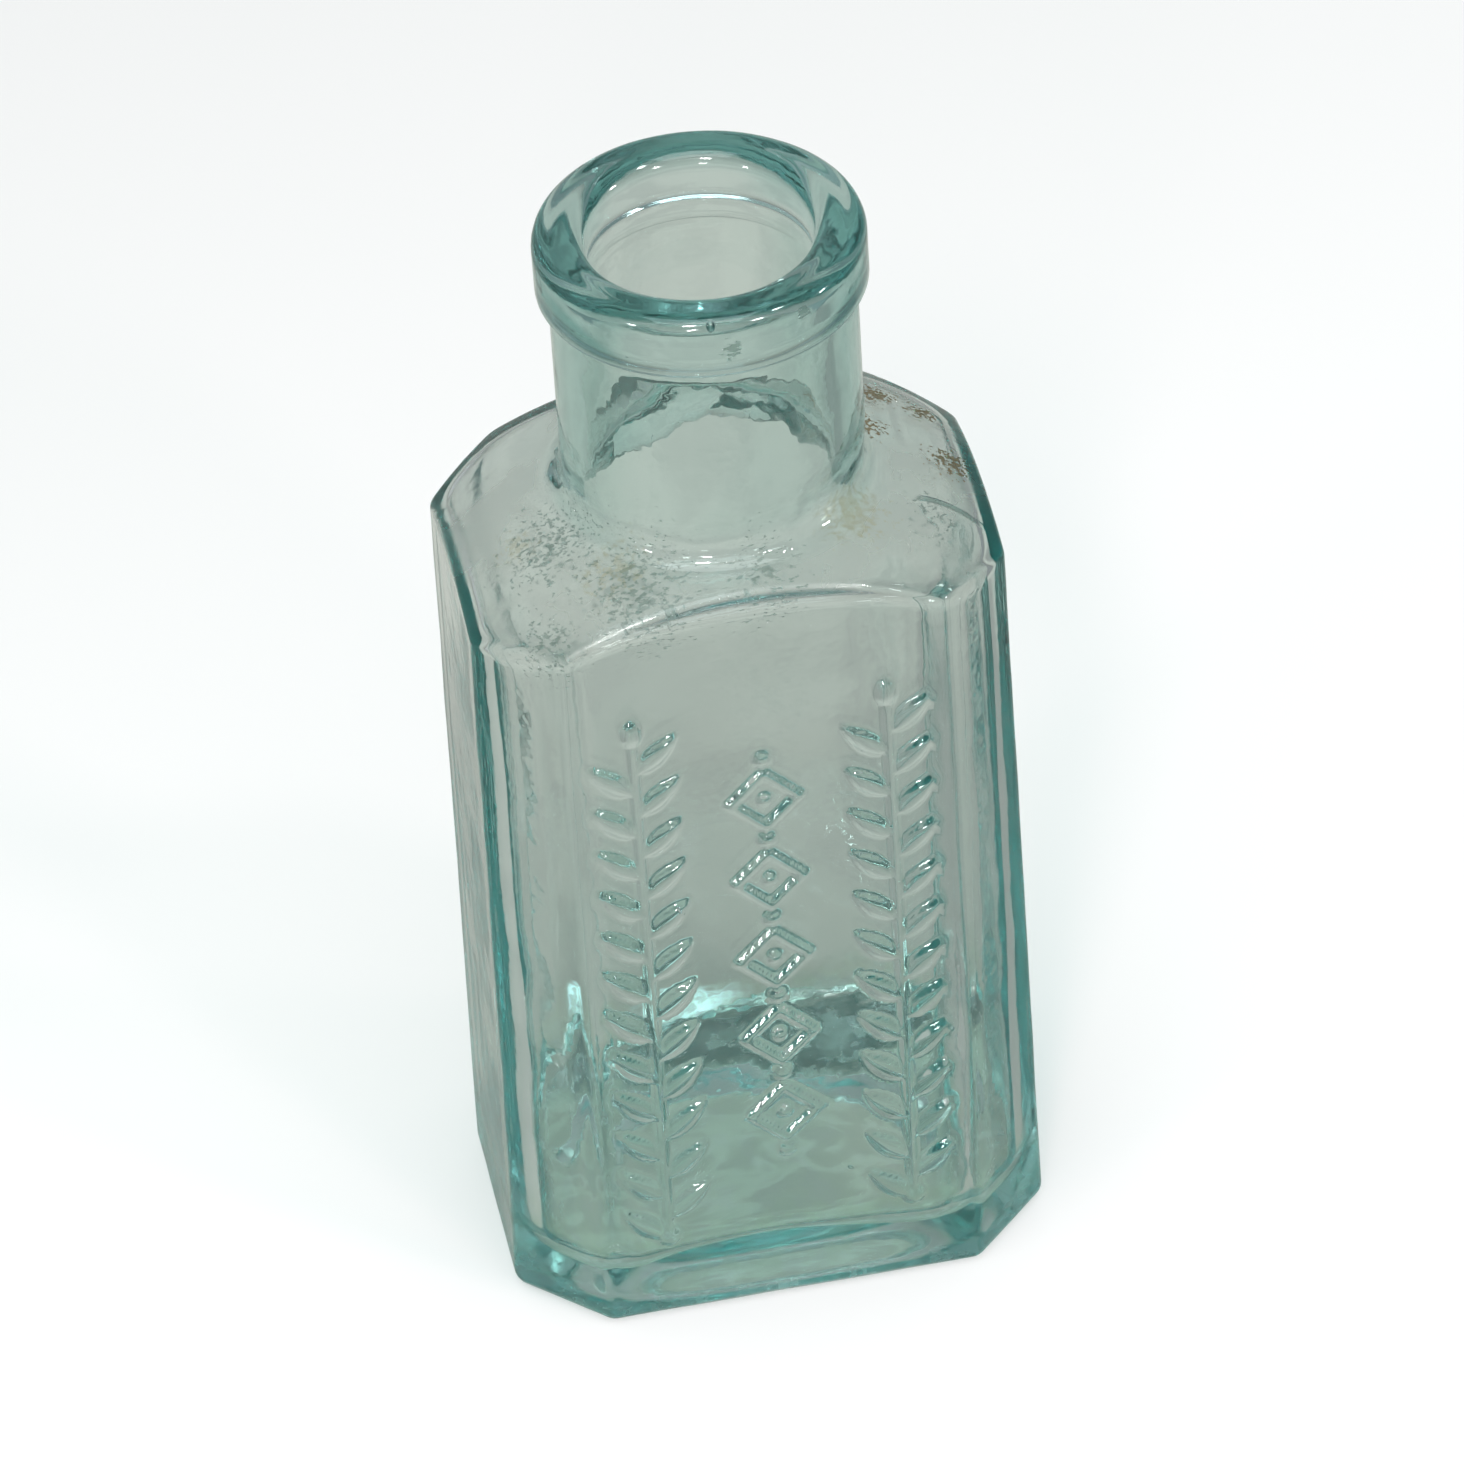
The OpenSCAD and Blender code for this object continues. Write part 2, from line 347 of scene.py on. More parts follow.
def all_rings(s):
    """Every ring of the glass, from under the base, over the rim, to the inner floor."""
    def push_up(p):
        x, y = p.x / s.push_up_w, (p.y + s.push_up_shift) / s.push_up_d
        t = (abs(x) ** s.push_up_power + abs(y) ** s.push_up_power) ** (1 / s.push_up_power)
        return s.push_up * ramp((1 - t) / s.push_up_rim)

    def crown(p):
        t = (p.x + s.crown_shift) / s.crown_span
        return s.floor_crown * math.cos(t * math.pi / 2) ** 2 if abs(t) < 1 else 0.0

    lip = lip_profile(s)
    outer = vessel_rings(s, Skin(
        inset=0.0, side_inset=0.0, thin=0.0, floor_z=0.0, floor_shape=push_up, foot_r=s.heel_r,
        corner_r=s.edge_r, ball_r=s.dome_r, ring_r=s.neck_r, root_r=s.root_r, soft=s.arch_soft,
        wall_rings=WALL_RINGS, neck_top=lip[0][1]))
    inner = vessel_rings(s, Skin(
        inset=s.wall, side_inset=s.side_wall, thin=s.thinning, floor_z=s.base_t, floor_shape=crown,
        foot_r=s.floor_r, corner_r=s.inner_edge_r, ball_r=s.dome_r - s.shoulder_t, ring_r=s.bore_r,
        root_r=s.throat_r, soft=s.inner_soft, wall_rings=INNER_RINGS, neck_top=lip[-1][1]))
    ways = [Vector((p.x, p.y, 0)).normalized() for p in outer[-1]]
    middle = [[way * r + Vector((0, 0, z)) for way in ways] for r, z in lip[1:-1]]
    return outer + middle + inner[::-1], len(outer) + len(middle)


# Glass

def glass_mesh(s):
    """A grid rolled up into one skin, with each vertex marked with its row and column."""
    rings, inner_from = all_rings(s)
    bm = bmesh.new()
    row = bm.verts.layers.int.new("row")
    bmesh.ops.create_grid(bm, x_segments=COLUMNS, y_segments=len(rings) - 1, size=1)
    bm.verts.ensure_lookup_table()
    front = set()
    first, margin = BASE_RINGS + FOOT_RINGS, 4
    shift_span = 6 * MM     # height over which the neck's shift comes in
    for i, v in enumerate(bm.verts):
        k, j = divmod(i, COLUMNS + 1)
        v.co = rings[k][j % COLUMNS]
        v.co.x += s.neck_shift * ramp((v.co.z - s.shoulder_z) / shift_span)
        v[row] = k
        if first + margin <= k <= first + WALL_RINGS - margin and 2 <= j <= FRONT - 2:
            front.add(v)
    # the ornament needs a finer mesh
    edges = [e for e in bm.edges if e.verts[0] in front and e.verts[1] in front]
    bmesh.ops.subdivide_edges(bm, edges=edges, cuts=2, use_grid_fill=True)
    bmesh.ops.remove_doubles(bm, verts=bm.verts, dist=0.001 * MM)
    bmesh.ops.recalc_face_normals(bm, faces=bm.faces)
    return bm, row, inner_from


def throat_fold(p):
    """How far, in mm, the glass ran and folded where the neck widens into the body."""
    near = ramp((p.z - 85) / 3) * (1 - ramp((p.z - 92) / 9)) * ramp((17 - math.hypot(p.x, p.y)) / 3)
    if near == 0:
        return 0.0
    left, back = ramp(0.5 - p.x / 14), ramp(p.y / 12 - 0.05)
    waves = 0.8 * noise.noise(p / 5 + Vector((5, 5, 2))) + 0.5 * noise.noise(p / 2 + Vector((1, 8, 3)))
    return near * (back * (0.9 + 0.7 * left) + lerp(0.15, 1.0, back) * waves)


def inner_wobble(p):
    """How far, in mm, the inner skin stands into the bottle, which no mould touched."""
    d = 0.30 * noise.noise(p / 17 + Vector((3, 1, 7))) + 0.12 * noise.noise(p / 7)
    d += throat_fold(p)
    # a thick heel along the back
    if p.z < 16:
        d += 1.3 * ramp((p.y - 9) / 6) * (1 - ramp((p.z - 6) / 8)) * ramp((20 - abs(p.x)) / 10)
    # and where the glass lay thick and cooled slowly, on the floor
    if p.z < 12:
        d += (1 - ramp((p.z - 8) / 4)) * 0.12 * noise.noise(p / 4.5 + Vector((2, 2, 9)))
    return d


def outer_wobble(p):
    """How far, in mm, the outer skin stands out."""
    d = 0.05 * noise.noise(p / 11 + Vector((9, 2, 4))) + 0.025 * noise.noise(p / 4)
    # upright draw lines left by the mould
    if p.z < 85:
        d += 0.004 * noise.noise(Vector((p.x * 0.55, p.y * 0.55, p.z * 0.03)))
    return d


def wobble(bm, row, inner_from):
    """Leaves the glass uneven, along its normals."""
    bm.normal_update()
    moves = []
    for v in bm.verts:
        uneven = inner_wobble if v[row] >= inner_from else outer_wobble
        moves.append(v.normal * uneven(v.co / MM) * MM)
    for v, m in zip(bm.verts, moves):
        v.co += m
        v.co.z = max(v.co.z, 0.02 * MM)     # clear of the floor, which would show in the glass


FOOT_BEAD, TIP_BEAD = 1.3 * MM, 1.1 * MM      # radii of the beads at a sprig's foot and tip
LINK_BEAD, EYE_BEAD = 1.0 * MM, 0.8 * MM      # and between and inside the lozenges


def crest(share_out):
    """Height share of a rounded ridge, from 0 on its middle line to 1 at its foot."""
    return (1 - share_out * share_out) ** 0.8 if abs(share_out) < 1 else 0.0


def bead(u, w, radius):
    return crest(math.hypot(u, w) / radius)


def leaf(u, w, r):
    """Height share of a solid leaf that grows from the origin, out to the side and up."""
    out, up = math.sin(r.leaf_lean), math.cos(r.leaf_lean)
    t = (u * out + w * up) / r.leaf_length
    if not 0 < t < 1:
        return 0.0
    half = r.leaf_width / 2 * math.sin(math.pi * t ** 0.8) ** 0.8 + 0.02 * MM
    return crest((u * up - w * out) / half) * (0.6 + 0.4 * math.sin(math.pi * t))


def sprig(u, w, r):
    """Height share of an upright leafy sprig whose stem is at u = 0."""
    bare_tip, leaf_foot = 1.5 * MM, 0.3 * MM    # stem above the last leaf, and where leaves leave it
    bud_rise, bud_squeeze = 1.6 * MM, 0.6       # the bud at the tip is longer than wide
    h = bead(u, w - r.sprig_low, FOOT_BEAD)
    if r.sprig_low < w < r.sprig_high:
        h = max(h, crest(u / r.line) * 0.75)
    side = 0.5 if u > 0 else 0.0
    rise = (w - r.sprig_low) / r.leaf_pitch - side
    for n in (math.floor(rise) - 1, math.floor(rise)):
        if n >= 0 and r.sprig_low + (n + side) * r.leaf_pitch < r.sprig_high - bare_tip:
            h = max(h, leaf(abs(u) - leaf_foot, (rise - n) * r.leaf_pitch, r))
    return max(h, bead(u, (w - r.sprig_high - bud_rise) * bud_squeeze, TIP_BEAD))


def chain(u, w, r):
    """Height share of a chain of hollow lozenges with beads between them."""
    if not r.chain_low - LINK_BEAD < w < r.chain_high + LINK_BEAD:
        return 0.0
    pitch = (r.chain_high - r.chain_low) / r.lozenges
    n = (w - r.chain_low) / pitch
    h = bead(u, (n - round(n)) * pitch, LINK_BEAD)
    if 0 < n < r.lozenges:
        v = (n - math.floor(n) - 0.5) * pitch
        out = (abs(u) / r.lozenge_w + abs(v) / r.lozenge_h - 1) * r.lozenge_w * 0.75
        h = max(h, crest(out / r.line), bead(u, v, EYE_BEAD))
    return h


def ornament(bm, s, r):
    """Raises two leafy sprigs and a chain of lozenges on the front panel."""
    # the ornament lies in this part of the panel
    front, half_wide, low, high = -s.half_d + 1.5 * MM, 18 * MM, 6 * MM, 84 * MM
    for v in bm.verts:
        x, z = v.co.x, v.co.z
        if v.co.y < front and abs(x) < half_wide and low < z < high:
            h = max(sprig(x + r.sprig_x, z, r), sprig(x - r.sprig_x, z, r), chain(x, z, r))
            v.co.y -= h * r.proud


BUBBLES = (     # seed bubbles inside the glass: centre and radius, in mm
    ((-1.4, -14.1, 119.2), 0.42), ((17.5, -18.0, 31.0), 0.28), ((-9.0, -18.1, 52.0), 0.20),
    ((3.5, 18.0, 60.0), 0.30), ((-20.0, 17.6, 40.0), 0.24), ((25.6, 3.0, 25.0), 0.30),
    ((-25.5, -5.0, 66.0), 0.26), ((8.0, -6.0, 2.9), 0.40), ((-14.0, 4.0, 2.6), 0.34),
    ((10.0, 9.0, 2.8), 0.28), ((12.3, 5.2, 108.0), 0.26), ((-6.0, 12.0, 104.0), 0.22),
)


def seed_bubbles(bm):
    """Closed pockets of air, whose faces point into the pocket and so out of the glass."""
    for (x, y, z), r in BUBBLES:
        made = bmesh.ops.create_icosphere(bm, subdivisions=2, radius=r * MM,
                                          matrix=Matrix.Translation((x * MM, y * MM, z * MM)))
        faces = {f for v in made["verts"] for f in v.link_faces}
        bmesh.ops.reverse_faces(bm, faces=list(faces))


def linked(context, name, data):
    """A new object for the data, in the scene."""
    made = bpy.data.objects.new(name, data)
    context.scene.collection.objects.link(made)
    return made


class BOTTLE_OT_glass(bpy.types.Operator):
    """Blow the bottle and lay its lip, as one piece of glass"""
    bl_idname = "bottle.glass"
    bl_label = "Glass bottle"

    def execute(self, context):
        s = context.scene.bottle_sizes
        bm, row, inner_from = glass_mesh(s)
        wobble(bm, row, inner_from)
        ornament(bm, s, context.scene.relief_sizes)
        seed_bubbles(bm)
        mesh = bpy.data.meshes.new("bottle_glass")
        for f in bm.faces:
            f.smooth = True
        bm.to_mesh(mesh)
        bm.free()
        piece = linked(context, "bottle_glass", mesh)
        mesh.materials.append(glass_material(context.scene.glass_look, s))
        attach(piece, "root")
        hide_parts("blown_body", "applied_lip")
        return {"FINISHED"}


# Finish

def add(nt, kind, *sources, **settings):
    """Adds a node, with its first inputs wired to sockets or set to values."""
    made = nt.nodes.new(kind)
    for name, value in settings.items():
        setattr(made, name, value)
    for i, source in enumerate(sources):
        if isinstance(source, bpy.types.NodeSocket):
            nt.links.new(source, made.inputs[i])
        elif source is not None:
            made.inputs[i].default_value = source
    return made


def maths(nt, operation, *sources):
    return add(nt, "ShaderNodeMath", *sources, operation=operation).outputs[0]


def product(nt, *sources):
    """The product of masks or values."""
    made = sources[0]
    for source in sources[1:]:
        made = maths(nt, "MULTIPLY", made, source)
    return made


def away_from(nt, value, middle):
    """How far a value lies from the middle, on either side."""
    return maths(nt, "ABSOLUTE", maths(nt, "SUBTRACT", value, middle))


def distance(nt, place, middle):
    return add(nt, "ShaderNodeVectorMath", place, middle, operation="DISTANCE").outputs["Value"]


def fade(nt, value, start, end):
    """Smooth step from 0 where value is start to 1 where it is end."""
    made = add(nt, "ShaderNodeMapRange", value, start, end, 0.0, 1.0, interpolation_type="SMOOTHSTEP")
    return made.outputs[0]


def noise_level(nt, place, scale, **settings):
    """Value of a noise texture whose other inputs are set by name."""
    made = add(nt, "ShaderNodeTexNoise", place)
    made.inputs["Scale"].default_value = scale
    for name, value in settings.items():
        made.inputs[name].default_value = value
    return made.outputs[0]


def blended(nt, amount, first, second, blend_type="MIX"):
    """The first colour, turned into its blend with the second as the amount goes from 0 to 1."""
    made = nt.nodes.new("ShaderNodeMix")
    made.data_type, made.blend_type = "RGBA", blend_type
    for i, source in ((0, amount), (6, first), (7, second)):
        if isinstance(source, bpy.types.NodeSocket):
            nt.links.new(source, made.inputs[i])
        else:
            made.inputs[i].default_value = (*source, 1)
    return made.outputs[2]


def tinted(nt, colour, mask, stain):
    """The colour, multiplied by the stain where the mask is 1."""
    return blended(nt, mask, colour, stain, "MULTIPLY")


def new_group(name, inputs, outputs):
    """An empty node group with named sockets, given as (name, type, default)."""
    group = bpy.data.node_groups.new(name, "ShaderNodeTree")
    for title, kind, default in inputs:
        socket = group.interface.new_socket(title, in_out="INPUT", socket_type=kind)
        socket.default_value = default
    for title, kind in outputs:
        group.interface.new_socket(title, in_out="OUTPUT", socket_type=kind)
    return group, group.nodes.new("NodeGroupInput"), group.nodes.new("NodeGroupOutput")


def patch_group():
    """Group: an irregular patch of marks round a point, dense in its middle."""
    group, start, end = new_group("mark_patch", (
        ("Place", "NodeSocketVector", (0, 0, 0)), ("Middle", "NodeSocketVector", (0, 0, 0)),
        ("Reach", "NodeSocketFloat", 0.01), ("Specks", "NodeSocketFloat", 0.5),
        ("Sparse", "NodeSocketFloat", 0.5), ("Soft", "NodeSocketFloat", 0.05)),
        (("Mask", "NodeSocketFloat"),))
    thinned = 0.35      # how much sparser the marks are at the patch's reach than in its middle
    away = maths(group, "DIVIDE", distance(group, start.outputs["Place"], start.outputs["Middle"]),
                 start.outputs["Reach"])
    level = maths(group, "SUBTRACT", start.outputs["Specks"], product(group, away, thinned))
    level = maths(group, "SUBTRACT", level, start.outputs["Sparse"])
    group.links.new(fade(group, level, 0.0, start.outputs["Soft"]), end.inputs["Mask"])
    return group


# Patches of marks as (middle, reach, sparse): the first two in mm, and the last higher for fewer marks
DIRT_PITS = (
    ((-17, -6, 90), 15, 0.49), ((-10, -15, 90), 13, 0.46), ((-19, -16, 86), 10, 0.49),
    ((2, -17, 91), 12, 0.49), ((20, -9, 88), 10, 0.51),
    ((0.3, -16.0, 117.4), 1.7, 0.34), ((7.7, -14.4, 119.2), 1.3, 0.34),
)
RUST_SPOTS = (
    ((18.4, 10.7, 89.1), 4, 0.38), ((16.2, 3.0, 91.2), 4, 0.41), ((22.4, 8.4, 87.6), 3, 0.37),
    ((23.5, -0.6, 87.8), 4, 0.38),
)
TAN_STAINS = (
    ((11.6, -10.2, 91.6), 6, 0.28), ((-12, -12.5, 91), 7, 0.36), ((-20.4, -4.3, 89.3), 4, 0.34),
)


def shoulder_seam(group, place, flat, shoulder):
    """Mask of a short seam on the right of the shoulder, part of a ring round an upright line."""
    ring_r, half_line, half_line_full = 7.95 * MM, 0.42 * MM, 0.20 * MM
    ring = distance(group, flat, Vector((19.9, -15.3, 0)) * MM)
    along = distance(group, place, Vector((22.0, -7.9, 87.9)) * MM)
    seam = fade(group, away_from(group, ring, ring_r), half_line, half_line_full)
    return product(group, seam, shoulder, fade(group, along, 4.4 * MM, 2.4 * MM))


def deepened_by_painted_shade(group, colour, axes, radius, tooled_rim_and_shade):
    """The colour, with painted shade: deeper teal where the glass is thick or uneven and light's long paths
    through it look dark.
    """
    x, y, z = axes
    across = maths(group, "ABSOLUTE", x)
    # painted shade over the neck, its two sides most of all
    neck = product(group, fade(group, z, 93 * MM, 96 * MM), fade(group, z, 116 * MM, 113 * MM))
    sides = product(group, fade(group, z, 88 * MM, 93 * MM), fade(group, z, 116 * MM, 113 * MM),
                    fade(group, radius, 12.8 * MM, 13.6 * MM), fade(group, radius, 16.4 * MM, 15.4 * MM),
                    fade(group, across, 8 * MM, 13.5 * MM))
    # painted shade on the glass round the resting ring, and on the corners of the heel
    under = fade(group, z, 2.9 * MM, 2.3 * MM)
    corners = product(group, fade(group, z, 9 * MM, 4 * MM), fade(group, across, 21 * MM, 25 * MM))
    # painted shade on the lip's outside at its two sides, with a darker streak that slants down towards the
    # front
    band = product(group, fade(group, z, 114.4 * MM, 115.4 * MM), fade(group, radius, 15.0 * MM, 15.6 * MM),
                   fade(group, across, 7 * MM, 12 * MM))
    slope, streak_z = 0.54, 109.4 * MM
    level = maths(group, "SUBTRACT", z, product(group, across, slope))
    streak = product(group, fade(group, away_from(group, level, streak_z), 2.0 * MM, 0.6 * MM),
                     fade(group, y, 3 * MM, -2 * MM), band)
    # painted shade: each mask darkens the colour towards its deep teal
    for mask, stain in ((neck, (0.955, 0.982, 0.972)), (tooled_rim_and_shade, (0.73, 0.85, 0.84)),
                        (under, (0.90, 0.96, 0.95)), (corners, (0.80, 0.93, 0.92)),
                        (sides, (0.73, 0.85, 0.83)), (band, (0.70, 0.85, 0.84)),
                        (streak, (0.32, 0.56, 0.55))):
        colour = tinted(group, colour, mask, stain)
    return colour


def wear_and_shade_group(dome_r, ball_z):
    """Group: how a century of soil and handling changed the clear glass, with painted shade that deepens its
    teal where thick glass looks dark. The shoulder is part of a ball of radius dome_r round the height
    ball_z."""
    group, start, end = new_group("wear_and_painted_shade", (("Clear", "NodeSocketColor", (1, 1, 1, 1)),), (
        ("Colour", "NodeSocketColor"), ("Roughness", "NodeSocketFloat"), ("Height", "NodeSocketFloat")))
    patch = patch_group()
    place = add(group, "ShaderNodeTexCoord").outputs["Object"]
    x, y, z = add(group, "ShaderNodeSeparateXYZ", place).outputs
    flat = add(group, "ShaderNodeCombineXYZ", x, y).outputs[0]
    radius = add(group, "ShaderNodeVectorMath", flat, operation="LENGTH").outputs["Value"]

    def specks(scale, detail, where=place):
        return noise_level(group, where, scale, Detail=detail, Roughness=0.62)

    def marks(level, soft, spots):
        """Strongest mask of patches of one kind."""
        most = None
        for middle, reach, sparse in spots:
            made = group.nodes.new("ShaderNodeGroup")
            made.node_tree = patch
            group.links.new(place, made.inputs["Place"])
            group.links.new(level, made.inputs["Specks"])
            made.inputs["Middle"].default_value = Vector(middle) * MM
            made.inputs["Reach"].default_value = reach * MM
            made.inputs["Sparse"].default_value = sparse
            made.inputs["Soft"].default_value = soft
            mask = made.outputs["Mask"]
            most = maths(group, "MAXIMUM", most, mask) if most else mask
        return most

    # dull bloom over the domed shoulder
    out = distance(group, place, (0, 0, ball_z))
    shoulder = product(group, fade(group, out, dome_r - 0.9 * MM, dome_r - 0.35 * MM),
                       fade(group, radius, 15.8 * MM, 17.8 * MM), fade(group, z, 80 * MM, 83 * MM))
    bloom = product(group, shoulder, fade(group, specks(110.0, 3.0), 0.36, 0.62))
    # pits that hold dirt, rust and tan stains, and the seam
    streaked = add(group, "ShaderNodeVectorMath", place, (0.45, 0.8, 1.5), operation="MULTIPLY").outputs[0]
    pits = marks(specks(2300.0, 4.0, streaked), 0.05, DIRT_PITS)
    rust = marks(specks(2100.0, 2.0), 0.03, RUST_SPOTS)
    tan = marks(specks(1300.0, 3.0), 0.2, TAN_STAINS)
    seam = shoulder_seam(group, place, flat, shoulder)
    # the resting ring is ground dull, and a film dried on the inner floor
    coarse = specks(420.0, 3.0)
    ground = product(group, fade(group, z, 0.55 * MM, 0.2 * MM), fade(group, coarse, 0.42, 0.62))
    film = product(group, fade(group, z, 3 * MM, 3.4 * MM), fade(group, z, 13 * MM, 9 * MM),
                   fade(group, coarse, 0.36, 0.60))
    # the lip's rim lost its fire polish to the finishing tool, and is painted a deeper teal as shade
    tooled_rim_and_shade = fade(group, z, 118.6 * MM, 120.4 * MM)

    colour = blended(group, product(group, bloom, 0.8), start.outputs["Clear"], (0.98, 0.95, 0.925))
    for mask, stain in ((pits, (0.40, 0.48, 0.45)), (tan, (0.86, 0.78, 0.62)),
                        (rust, (0.42, 0.20, 0.08)), (film, (0.95, 0.99, 0.90))):
        colour = tinted(group, colour, mask, stain)
    # painted shade: deeper teal over the neck, rim, resting ring, heel corners and the lip's sides
    colour = deepened_by_painted_shade(group, colour, (x, y, z), radius, tooled_rim_and_shade)
    group.links.new(tinted(group, colour, seam, (0.30, 0.42, 0.40)), end.inputs["Colour"])

    rough = product(group, bloom, 0.34)
    for mask, more in ((pits, 0.30), (tan, 0.25), (rust, 0.6), (ground, 0.30), (film, 0.16), (tooled_rim_and_shade, 0.09)):
        rough = maths(group, "MAXIMUM", rough, product(group, mask, more))
    group.links.new(rough, end.inputs["Roughness"])

    # fine grain in the bloom, pits and the seam sunk into the glass, and crusts that stand on it
    high = product(group, specks(1800.0, 1.0), bloom, 0.03)
    for mask, rise in ((pits, -0.02), (rust, 0.05), (seam, -0.08)):
        high = maths(group, "MULTIPLY_ADD", mask, rise, high)
    # and the slight ripple of all blown glass
    high = maths(group, "MULTIPLY_ADD", specks(300.0, 2.0), 0.035, high)
    group.links.new(high, end.inputs["Height"])
    return group


def glass_material(look, s):
    mat = bpy.data.materials.new("aqua_glass")
    mat.use_nodes = True
    nt = mat.node_tree
    nt.nodes.clear()
    # soil and handling, with painted shade in its colour
    wear_and_shade = nt.nodes.new("ShaderNodeGroup")
    wear_and_shade.node_tree = wear_and_shade_group(s.dome_r, dome_middle(s))
    wear_and_shade.inputs["Clear"].default_value = (*look.skin, 1)
    bump = nt.nodes.new("ShaderNodeBump")
    bump.inputs["Distance"].default_value = MM
    nt.links.new(wear_and_shade.outputs["Height"], bump.inputs["Height"])
    glass = nt.nodes.new("ShaderNodeBsdfPrincipled")
    nt.links.new(wear_and_shade.outputs["Colour"], glass.inputs["Base Color"])
    nt.links.new(wear_and_shade.outputs["Roughness"], glass.inputs["Roughness"])
    nt.links.new(bump.outputs[0], glass.inputs["Normal"])
    glass.inputs["IOR"].default_value = look.ior
    glass.inputs["Transmission Weight"].default_value = 1.0
    clear = add(nt, "ShaderNodeBsdfTransparent", (*look.shadow, 1))
    path = add(nt, "ShaderNodeLightPath")
    mix = add(nt, "ShaderNodeMixShader", path.outputs["Is Shadow Ray"], glass.outputs[0], clear.outputs[0])
    deep = add(nt, "ShaderNodeVolumeAbsorption", (*look.absorbed, 1), look.density)
    out = nt.nodes.new("ShaderNodeOutputMaterial")
    nt.links.new(mix.outputs[0], out.inputs["Surface"])
    nt.links.new(deep.outputs[0], out.inputs["Volume"])
    return mat


# Stage

def way_to(azimuth, elevation):
    """Unit vector towards an azimuth, counted from the front, and an elevation, both in degrees."""
    az, el = math.radians(azimuth), math.radians(elevation)
    return Vector((math.sin(az) * math.cos(el), -math.cos(az) * math.cos(el), math.sin(el)))


def place_camera(context):
    """The photograph's view, with the lens in mm on a sensor of 36 mm."""
    back, roll = way_to(-8.87, 39.14), math.radians(-3.84)
    dist, target_z, aside, lens = 974.4 * MM, 58.2 * MM, 0.27 * MM, 240.95
    right = (-back).cross(Vector((0, 0, 1))).normalized()
    up = right.cross(-back)
    rolled_right = right * math.cos(roll) + up * math.sin(roll)
    rolled_up = up * math.cos(roll) - right * math.sin(roll)
    target = Vector((0, 0, target_z)) + right * aside
    turn = Matrix((rolled_right, rolled_up, back)).transposed().to_4x4()
    cam = bpy.data.cameras.new("photo_view")
    cam.sensor_width = 36
    cam.lens = lens
    cam.clip_start, cam.clip_end = 0.01, 20
    view = linked(context, "photo_view", cam)
    view.matrix_world = Matrix.Translation(target + back * dist) @ turn
    context.scene.camera = view


LAMPS = (   # name, azimuth and elevation, distance and size in metres, power in watts, colour
    ("key", -20.0, 44.0, 1.5, (0.16, 0.16), 6.0, (1, 0.985, 0.96)),
    ("strip", -6.0, 46.0, 1.5, (0.90, 0.012), 0.8, (1, 1, 1)),
    ("sky_panel", -12.0, 70.0, 1.3, (1.0, 0.7), 5.5, (0.88, 0.96, 1.0)),
    ("glint_a", -56.0, 17.0, 0.9, (0.08, 0.08), 1.3, (1, 1, 1)),
    ("glint_b", -16.0, 20.0, 0.9, (0.08, 0.08), 1.3, (1, 1, 1)),
    ("glint_c", 26.0, 30.0, 0.9, (0.08, 0.08), 1.3, (1, 1, 1)),
    ("glint_d", 72.0, 17.0, 0.9, (0.08, 0.08), 1.3, (1, 1, 1)),
    ("glint_e", 48.0, 50.0, 0.9, (0.08, 0.08), 1.3, (1, 1, 1)),
)
LAMPS_FACE = Vector((0, 0, 0.05))    # the point that they face, in metres


def place_lamp(context, name, azimuth, elevation, away, size, power, colour):
    """A soft panel that faces the bottle."""
    light = bpy.data.lights.new(name, "AREA")
    light.shape = "RECTANGLE"
    light.size, light.size_y = size
    light.energy = power
    light.color = colour
    way = way_to(azimuth, elevation)
    turn = (-way).to_track_quat("-Z", "Y").to_matrix().to_4x4()
    linked(context, name, light).matrix_world = Matrix.Translation(way * away + LAMPS_FACE) @ turn


def oval_patch(nt, x, y, middle, reach, core):
    """Mask that is 1 in the core share of an oval on the floor, given in mm, and fades to 0 at its edge."""
    across = maths(nt, "DIVIDE", maths(nt, "SUBTRACT", x, middle[0] * MM), reach[0] * MM)
    deep = maths(nt, "DIVIDE", maths(nt, "SUBTRACT", y, middle[1] * MM), reach[1] * MM)
    away = maths(nt, "ADD", product(nt, across, across), product(nt, deep, deep))
    return fade(nt, maths(nt, "SQRT", away), 1.0, core)


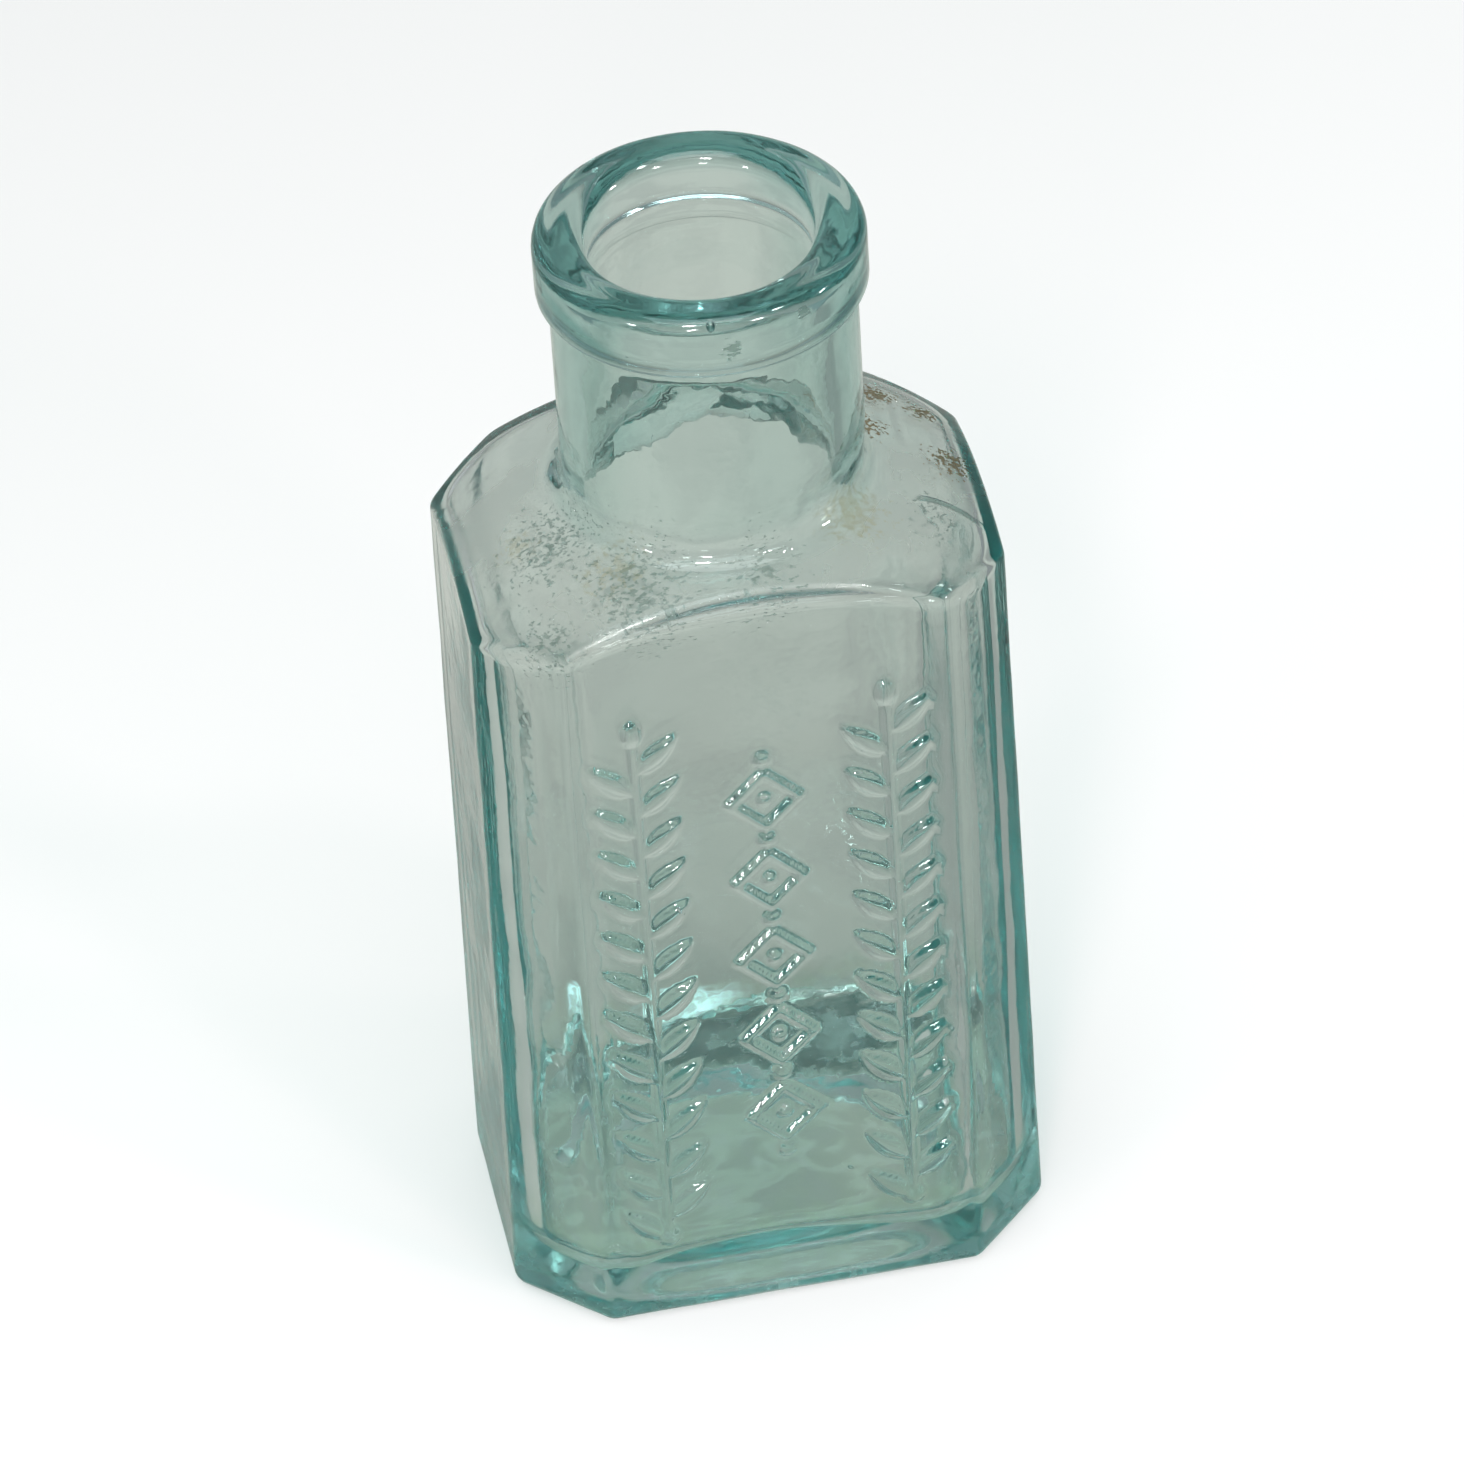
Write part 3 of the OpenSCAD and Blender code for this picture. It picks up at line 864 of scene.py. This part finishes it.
def floor_seen_through(nt, look):
    """Shader of the floor as the glass shows it: grey, with painted light that the bottle gathers on it and
    painted shade where it blocks the light.
    """
    place = add(nt, "ShaderNodeTexCoord").outputs["Object"]
    x, y, _ = add(nt, "ShaderNodeSeparateXYZ", place).outputs
    stretched = add(nt, "ShaderNodeCombineXYZ", product(nt, x, 0.6), y).outputs[0]
    ripples = noise_level(nt, stretched, 150.0, Detail=2.0, Distortion=1.2)
    web = fade(nt, away_from(nt, ripples, 0.5), 0.09, 0.0)
    # painted green light under the bottle, except in the painted shadow of its thick heel
    under = product(nt, fade(nt, maths(nt, "ABSOLUTE", x), 28 * MM, 20 * MM),
                    fade(nt, maths(nt, "ABSOLUTE", y), 20 * MM, 14 * MM))
    heel = oval_patch(nt, x, y, (6, 15.5), (27, 6.0), 0.55)
    green = product(nt, under, maths(nt, "MULTIPLY_ADD", web, 0.12, 0.135),
                    maths(nt, "MULTIPLY_ADD", heel, -0.85, 1.0))
    # a painted caustic: the brightest streak of light lies just behind the bottle, away from the key light
    streak = product(nt, oval_patch(nt, x, y, (-3, 25), (8, 4.5), 0.1),
                     maths(nt, "MULTIPLY_ADD", web, 0.9, 0.55))
    # the grey is blotchy; it is darker at the right, a painted shadow of the bottle, and brighter far behind
    # the bottle, painted light beyond its shade
    blotches = fade(nt, noise_level(nt, place, 45.0, Detail=1.0), 0.42, 0.62)
    right = product(nt, fade(nt, x, 10 * MM, 60 * MM), fade(nt, y, 85 * MM, 60 * MM))
    darker = maths(nt, "MAXIMUM", right, product(nt, blotches, 0.35))
    darkest = [s * c for s, c in zip((0.66, 0.66, 0.68), look.floor_through)]
    grey = blended(nt, darker, look.floor_through, darkest)
    # painted shadow of the thick heel on the grey, and painted light brightening it far behind the bottle
    lit = add(nt, "ShaderNodeVectorMath", tinted(nt, grey, heel, (0.12, 0.38, 0.40)), operation="SCALE")
    nt.links.new(maths(nt, "MULTIPLY_ADD", fade(nt, y, 65 * MM, 115 * MM), 0.28, 1.0), lit.inputs["Scale"])
    shader = add(nt, "ShaderNodeBsdfDiffuse", lit.outputs[0]).outputs[0]
    # painted light: the floor glows faintly everywhere it shows through the glass, green under the bottle,
    # and brightest in the streak
    for colour, strength in ((look.floor_through, 0.05), ((0.62, 0.86, 0.74), green),
                             ((0.55, 0.93, 1.0), streak)):
        glow = add(nt, "ShaderNodeEmission", (*colour, 1), strength)
        shader = add(nt, "ShaderNodeAddShader", shader, glow.outputs[0]).outputs[0]
    return shader


def floor_material(look):
    """A pale floor that the camera sees white, and that shows grey through the glass, as a
    bottle does that was photographed on grey and cut out on white."""
    mat = bpy.data.materials.new("floor")
    mat.use_nodes = True
    nt = mat.node_tree
    pale = nt.nodes["Principled BSDF"]
    pale.inputs["Base Color"].default_value = (*look.floor, 1)
    pale.inputs["Roughness"].default_value = 0.9
    pale.inputs["Specular IOR Level"].default_value = 0.1
    path = add(nt, "ShaderNodeLightPath")
    mix = add(nt, "ShaderNodeMixShader", path.outputs["Is Camera Ray"], floor_seen_through(nt, look),
              pale.outputs[0])
    nt.links.new(mix.outputs[0], nt.nodes["Material Output"].inputs["Surface"])
    mat.cycles.emission_sampling = "NONE"
    return mat


def lay_floor(context, look):
    bm = bmesh.new()
    bmesh.ops.create_grid(bm, x_segments=1, y_segments=1, size=3)
    mesh = bpy.data.meshes.new("floor")
    bm.to_mesh(mesh)
    bm.free()
    mesh.materials.append(floor_material(look))
    linked(context, "floor", mesh)


def fill_light(context, look):
    """Even light from all round, brighter from the left."""
    world = bpy.data.worlds.new("studio")
    context.scene.world = world
    world.use_nodes = True
    nt = world.node_tree
    way = add(nt, "ShaderNodeSeparateXYZ", add(nt, "ShaderNodeTexCoord").outputs["Generated"])
    fill = blended(nt, fade(nt, way.outputs[0], -1.0, 1.0), look.sky_left, look.sky_right)
    nt.links.new(fill, nt.nodes["Background"].inputs["Color"])


class BOTTLE_OT_stage(bpy.types.Operator):
    """Set up the camera, a pale floor and soft studio light"""
    bl_idname = "bottle.stage"
    bl_label = "Stage"

    def execute(self, context):
        scene, look = context.scene, context.scene.stage_look
        place_camera(context)
        lay_floor(context, look)
        fill_light(context, look)
        scene.view_settings.view_transform = "Standard"
        # lamplight reaches the floor through the glass by its shadow colour
        scene.cycles.caustics_refractive = False
        scene.cycles.caustics_reflective = False
        # and a view through the glass meets many of its faces
        scene.cycles.max_bounces = 40
        scene.cycles.transmission_bounces = 40
        scene.cycles.glossy_bounces = 40
        scene.cycles.transparent_max_bounces = 16
        for lamp in LAMPS:
            place_lamp(context, *lamp)
        return {"FINISHED"}


class BOTTLE_PT_panel(bpy.types.Panel):
    bl_label = "Glass bottle"
    bl_idname = "BOTTLE_PT_panel"
    bl_space_type = "VIEW_3D"
    bl_region_type = "UI"
    bl_category = "Bottle"

    def draw(self, context):
        for operator in OPERATORS:
            self.layout.operator(operator.bl_idname)


OPERATORS = (BOTTLE_OT_stage, BOTTLE_OT_glass)
SETTINGS = (("bottle_sizes", BottleSizes), ("relief_sizes", ReliefSizes),
            ("glass_look", GlassLook), ("stage_look", StageLook))
CLASSES = (*(group for _, group in SETTINGS), *OPERATORS, BOTTLE_PT_panel)


def register():
    for c in CLASSES:
        bpy.utils.register_class(c)
    for name, group in SETTINGS:
        setattr(bpy.types.Scene, name, PointerProperty(type=group))


def unregister():
    for name, _ in SETTINGS:
        delattr(bpy.types.Scene, name)
    for c in reversed(CLASSES):
        bpy.utils.unregister_class(c)


def main():
    register()
    bpy.ops.bottle.stage()
    bpy.ops.bottle.glass()


if __name__ == "__main__":
    main()
